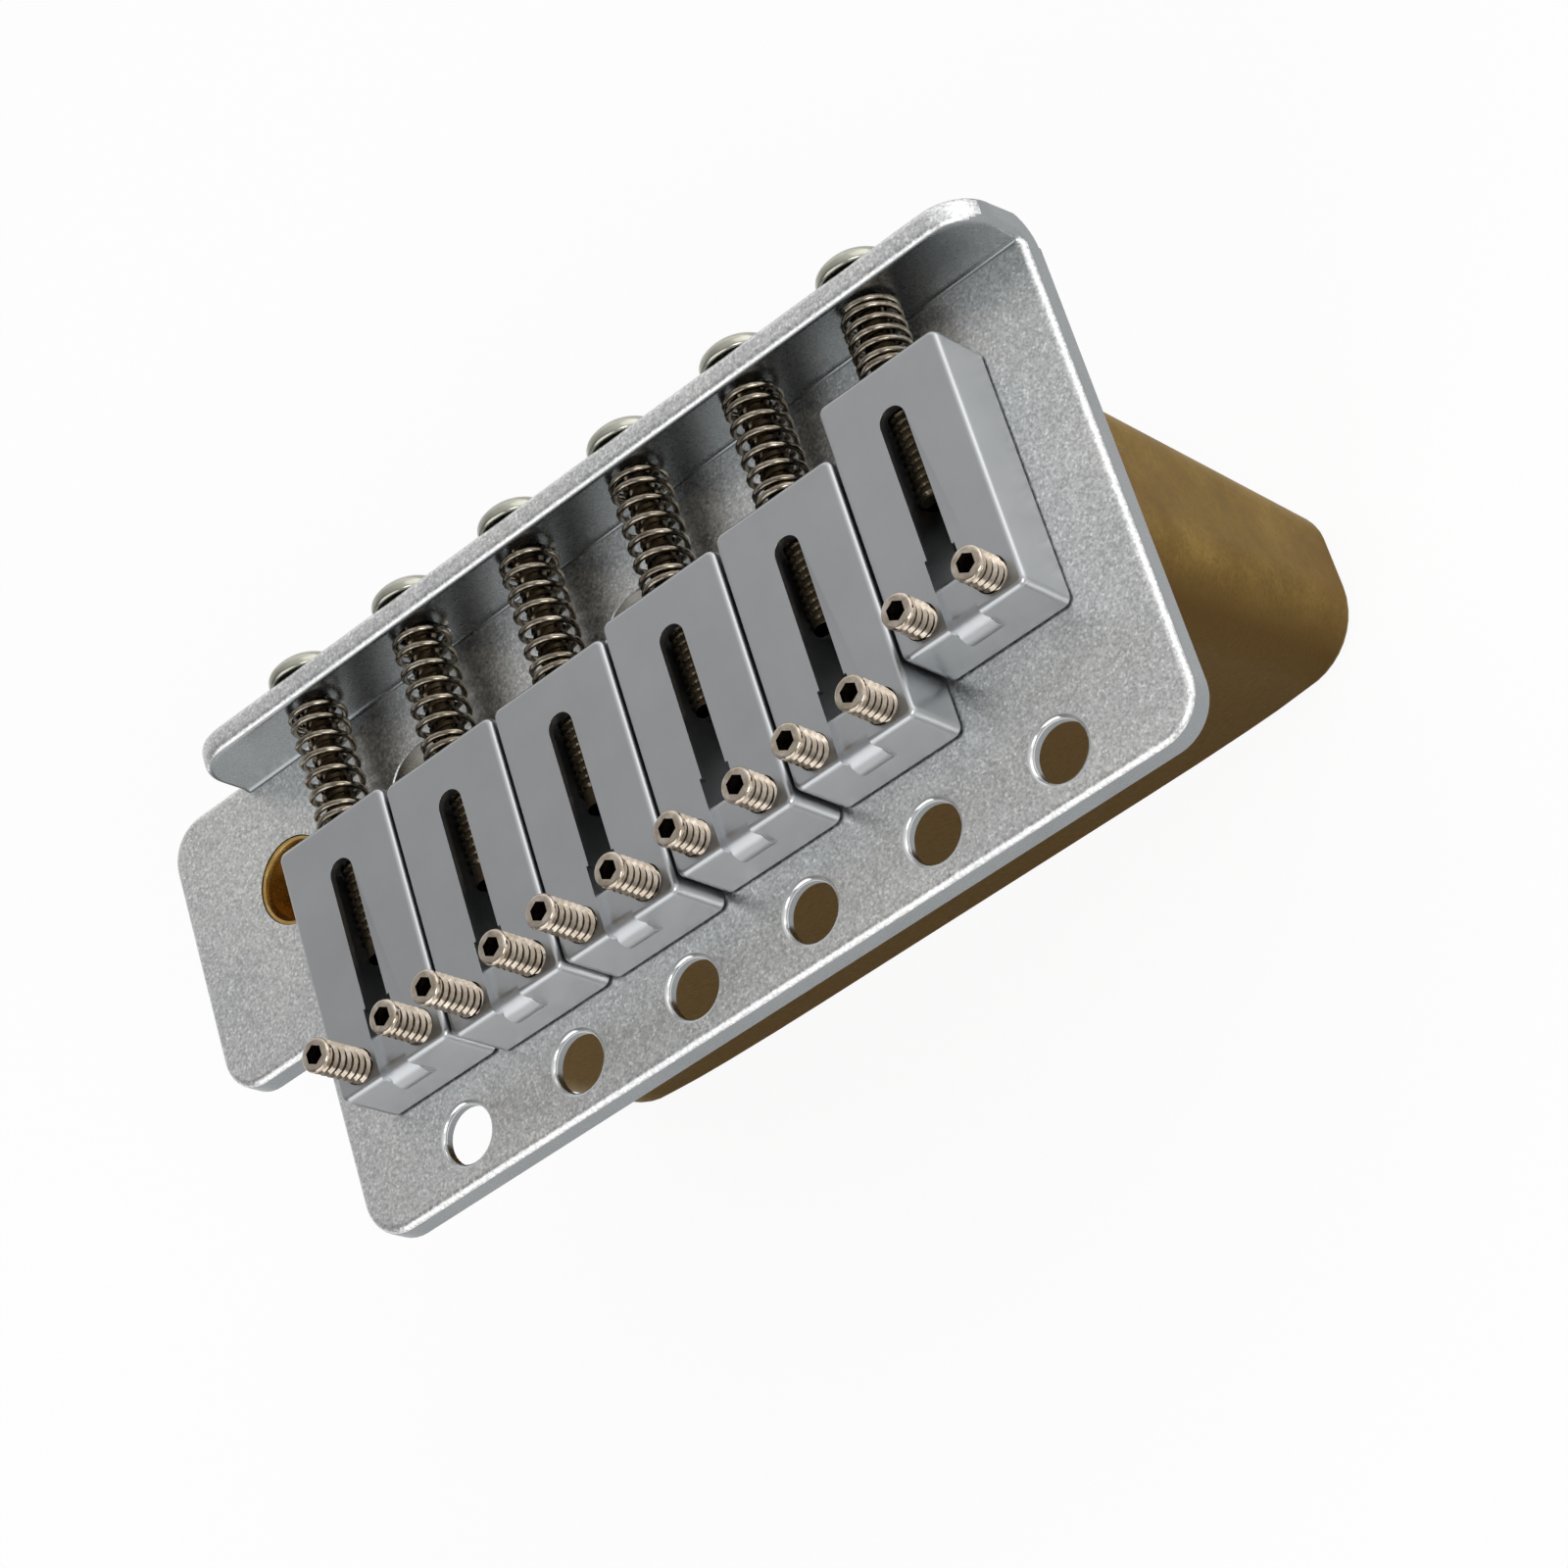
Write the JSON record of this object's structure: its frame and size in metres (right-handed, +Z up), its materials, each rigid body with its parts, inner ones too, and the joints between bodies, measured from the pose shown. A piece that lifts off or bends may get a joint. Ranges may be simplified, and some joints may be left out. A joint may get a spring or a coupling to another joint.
{
  "type": "guitar tremolo bridge",
  "caption": "Guitar tremolo bridge: bent base plate with an arm tab, a heavy block below, and a row of sprung box saddles set in height and length by screws.",
  "frame": {"origin": "middle of the row of six pivot holes, on the underside of the base plate", "axes": "+X to the bass side, +Y to the rear of the bridge, +Z up, away from the guitar's body"},
  "size_m": [0.0823, 0.0424, 0.051],
  "materials": {
    "plate_satin_chrome": "satin chrome over a fine blasted grain",
    "saddle_satin_chrome": "smooth satin chrome",
    "block_brass": "raw, dull and mottled",
    "bushing_brass": "turned",
    "block_screw_steel": "nickel plated",
    "intonation_screw_nickel": "nickel plated",
    "spring_nickel": "nickel plated wire",
    "height_screw_nickel": "nickel plated"
  },
  "bodies": {
    "bridge_base": {"base_plate": "plate_satin_chrome", "tremolo_block": "block_brass", "block_screws": "block_screw_steel", "arm_bushing": "bushing_brass"},
    "spring_unit_1": {"intonation_spring_1": "spring_nickel"},
    "screw_unit_1": {"intonation_screw_1": "intonation_screw_nickel"},
    "saddle_unit_1": {"saddle_1": "saddle_satin_chrome"},
    "height_bass_unit_1": {"height_screw_1_bass": "height_screw_nickel"},
    "height_treble_unit_1": {"height_screw_1_treble": "height_screw_nickel"},
    "spring_unit_2": {"intonation_spring_2": "spring_nickel"},
    "screw_unit_2": {"intonation_screw_2": "intonation_screw_nickel"},
    "saddle_unit_2": {"saddle_2": "saddle_satin_chrome"},
    "height_bass_unit_2": {"height_screw_2_bass": "height_screw_nickel"},
    "height_treble_unit_2": {"height_screw_2_treble": "height_screw_nickel"},
    "spring_unit_3": {"intonation_spring_3": "spring_nickel"},
    "screw_unit_3": {"intonation_screw_3": "intonation_screw_nickel"},
    "saddle_unit_3": {"saddle_3": "saddle_satin_chrome"},
    "height_bass_unit_3": {"height_screw_3_bass": "height_screw_nickel"},
    "height_treble_unit_3": {"height_screw_3_treble": "height_screw_nickel"},
    "spring_unit_4": {"intonation_spring_4": "spring_nickel"},
    "screw_unit_4": {"intonation_screw_4": "intonation_screw_nickel"},
    "saddle_unit_4": {"saddle_4": "saddle_satin_chrome"},
    "height_bass_unit_4": {"height_screw_4_bass": "height_screw_nickel"},
    "height_treble_unit_4": {"height_screw_4_treble": "height_screw_nickel"},
    "spring_unit_5": {"intonation_spring_5": "spring_nickel"},
    "screw_unit_5": {"intonation_screw_5": "intonation_screw_nickel"},
    "saddle_unit_5": {"saddle_5": "saddle_satin_chrome"},
    "height_bass_unit_5": {"height_screw_5_bass": "height_screw_nickel"},
    "height_treble_unit_5": {"height_screw_5_treble": "height_screw_nickel"},
    "spring_unit_6": {"intonation_spring_6": "spring_nickel"},
    "screw_unit_6": {"intonation_screw_6": "intonation_screw_nickel"},
    "saddle_unit_6": {"saddle_6": "saddle_satin_chrome"},
    "height_bass_unit_6": {"height_screw_6_bass": "height_screw_nickel"},
    "height_treble_unit_6": {"height_screw_6_treble": "height_screw_nickel"}
  },
  "joints": [
    {"name": "saddle_tilt_1", "type": "hinge", "parent": "bridge_base", "child": "spring_unit_1", "pos_m": [0.02575, 0.0354, 0.0053], "axis": [-1, 0, 0], "range_deg": [0, 3.5]},
    {"name": "intonation_turn_1", "type": "hinge", "parent": "spring_unit_1", "child": "screw_unit_1", "pos_m": [0.02575, 0.0354, 0.0053], "axis": [0, -1, 0], "range_deg": [-1702, 568]},
    {"name": "saddle_slide_1", "type": "slide", "parent": "spring_unit_1", "child": "saddle_unit_1", "axis": [0, 1, 0], "range_m": [-0.003, 0.001], "deforming": ["intonation_spring_1"]},
    {"name": "height_bass_1", "type": "slide", "parent": "saddle_unit_1", "child": "height_bass_unit_1", "axis": [0, 0, -1], "range_m": [0, 0.00142]},
    {"name": "height_treble_1", "type": "slide", "parent": "saddle_unit_1", "child": "height_treble_unit_1", "axis": [0, 0, -1], "range_m": [0, 0.00142]},
    {"name": "saddle_tilt_2", "type": "hinge", "parent": "bridge_base", "child": "spring_unit_2", "pos_m": [0.01525, 0.0354, 0.0053], "axis": [-1, 0, 0], "range_deg": [0, 3.5]},
    {"name": "intonation_turn_2", "type": "hinge", "parent": "spring_unit_2", "child": "screw_unit_2", "pos_m": [0.01525, 0.0354, 0.0053], "axis": [0, -1, 0], "range_deg": [-681, 1418]},
    {"name": "saddle_slide_2", "type": "slide", "parent": "spring_unit_2", "child": "saddle_unit_2", "axis": [0, 1, 0], "range_m": [-0.0012, 0.0025], "deforming": ["intonation_spring_2"]},
    {"name": "height_bass_2", "type": "slide", "parent": "saddle_unit_2", "child": "height_bass_unit_2", "axis": [0, 0, -1], "range_m": [0, 0.00155]},
    {"name": "height_treble_2", "type": "slide", "parent": "saddle_unit_2", "child": "height_treble_unit_2", "axis": [0, 0, -1], "range_m": [0, 0.00155]},
    {"name": "saddle_tilt_3", "type": "hinge", "parent": "bridge_base", "child": "spring_unit_3", "pos_m": [0.00475, 0.0354, 0.0053], "axis": [-1, 0, 0], "range_deg": [0, 3.5]},
    {"name": "intonation_turn_3", "type": "hinge", "parent": "spring_unit_3", "child": "screw_unit_3", "pos_m": [0.00475, 0.0354, 0.0053], "axis": [0, -1, 0], "range_deg": [-511, 1418]},
    {"name": "saddle_slide_3", "type": "slide", "parent": "spring_unit_3", "child": "saddle_unit_3", "axis": [0, 1, 0], "range_m": [-0.0009, 0.0025], "deforming": ["intonation_spring_3"]},
    {"name": "height_bass_3", "type": "slide", "parent": "saddle_unit_3", "child": "height_bass_unit_3", "axis": [0, 0, -1], "range_m": [0, 0.00158]},
    {"name": "height_treble_3", "type": "slide", "parent": "saddle_unit_3", "child": "height_treble_unit_3", "axis": [0, 0, -1], "range_m": [0, 0.00158]},
    {"name": "saddle_tilt_4", "type": "hinge", "parent": "bridge_base", "child": "spring_unit_4", "pos_m": [-0.00575, 0.0354, 0.0053], "axis": [-1, 0, 0], "range_deg": [0, 3.5]},
    {"name": "intonation_turn_4", "type": "hinge", "parent": "spring_unit_4", "child": "screw_unit_4", "pos_m": [-0.00575, 0.0354, 0.0053], "axis": [0, -1, 0], "range_deg": [-228, 1418]},
    {"name": "saddle_slide_4", "type": "slide", "parent": "spring_unit_4", "child": "saddle_unit_4", "axis": [0, 1, 0], "range_m": [-0.0004, 0.0025], "deforming": ["intonation_spring_4"]},
    {"name": "height_bass_4", "type": "slide", "parent": "saddle_unit_4", "child": "height_bass_unit_4", "axis": [0, 0, -1], "range_m": [0, 0.00163]},
    {"name": "height_treble_4", "type": "slide", "parent": "saddle_unit_4", "child": "height_treble_unit_4", "axis": [0, 0, -1], "range_m": [0, 0.00163]},
    {"name": "saddle_tilt_5", "type": "hinge", "parent": "bridge_base", "child": "spring_unit_5", "pos_m": [-0.01625, 0.0354, 0.0053], "axis": [-1, 0, 0], "range_deg": [0, 3.5]},
    {"name": "intonation_turn_5", "type": "hinge", "parent": "spring_unit_5", "child": "screw_unit_5", "pos_m": [-0.01625, 0.0354, 0.0053], "axis": [0, -1, 0], "range_deg": [-228, 1418]},
    {"name": "saddle_slide_5", "type": "slide", "parent": "spring_unit_5", "child": "saddle_unit_5", "axis": [0, 1, 0], "range_m": [-0.0004, 0.0025], "deforming": ["intonation_spring_5"]},
    {"name": "height_bass_5", "type": "slide", "parent": "saddle_unit_5", "child": "height_bass_unit_5", "axis": [0, 0, -1], "range_m": [0, 0.00163]},
    {"name": "height_treble_5", "type": "slide", "parent": "saddle_unit_5", "child": "height_treble_unit_5", "axis": [0, 0, -1], "range_m": [0, 0.00163]},
    {"name": "saddle_tilt_6", "type": "hinge", "parent": "bridge_base", "child": "spring_unit_6", "pos_m": [-0.02675, 0.0354, 0.0053], "axis": [-1, 0, 0], "range_deg": [0, 3.5]},
    {"name": "intonation_turn_6", "type": "hinge", "parent": "spring_unit_6", "child": "screw_unit_6", "pos_m": [-0.02675, 0.0354, 0.0053], "axis": [0, -1, 0], "range_deg": [-455, 1418]},
    {"name": "saddle_slide_6", "type": "slide", "parent": "spring_unit_6", "child": "saddle_unit_6", "axis": [0, 1, 0], "range_m": [-0.0008, 0.0025], "deforming": ["intonation_spring_6"]},
    {"name": "height_bass_6", "type": "slide", "parent": "saddle_unit_6", "child": "height_bass_unit_6", "axis": [0, 0, -1], "range_m": [0, 0.0016]},
    {"name": "height_treble_6", "type": "slide", "parent": "saddle_unit_6", "child": "height_treble_unit_6", "axis": [0, 0, -1], "range_m": [0, 0.0016]}
  ],
  "couplings": [
    {"joint": "intonation_turn_1", "follows": "saddle_slide_1", "rad_per_m": 9894.8},
    {"joint": "height_bass_1", "follows": "saddle_tilt_1", "m_per_rad": 0.0233},
    {"joint": "height_treble_1", "follows": "saddle_tilt_1", "m_per_rad": 0.0233},
    {"joint": "intonation_turn_2", "follows": "saddle_slide_2", "rad_per_m": 9894.8},
    {"joint": "height_bass_2", "follows": "saddle_tilt_2", "m_per_rad": 0.0254},
    {"joint": "height_treble_2", "follows": "saddle_tilt_2", "m_per_rad": 0.0254},
    {"joint": "intonation_turn_3", "follows": "saddle_slide_3", "rad_per_m": 9894.8},
    {"joint": "height_bass_3", "follows": "saddle_tilt_3", "m_per_rad": 0.0259},
    {"joint": "height_treble_3", "follows": "saddle_tilt_3", "m_per_rad": 0.0259},
    {"joint": "intonation_turn_4", "follows": "saddle_slide_4", "rad_per_m": 9894.8},
    {"joint": "height_bass_4", "follows": "saddle_tilt_4", "m_per_rad": 0.0266},
    {"joint": "height_treble_4", "follows": "saddle_tilt_4", "m_per_rad": 0.0266},
    {"joint": "intonation_turn_5", "follows": "saddle_slide_5", "rad_per_m": 9894.8},
    {"joint": "height_bass_5", "follows": "saddle_tilt_5", "m_per_rad": 0.0266},
    {"joint": "height_treble_5", "follows": "saddle_tilt_5", "m_per_rad": 0.0266},
    {"joint": "intonation_turn_6", "follows": "saddle_slide_6", "rad_per_m": 9894.8},
    {"joint": "height_bass_6", "follows": "saddle_tilt_6", "m_per_rad": 0.0261},
    {"joint": "height_treble_6", "follows": "saddle_tilt_6", "m_per_rad": 0.0261}
  ]
}
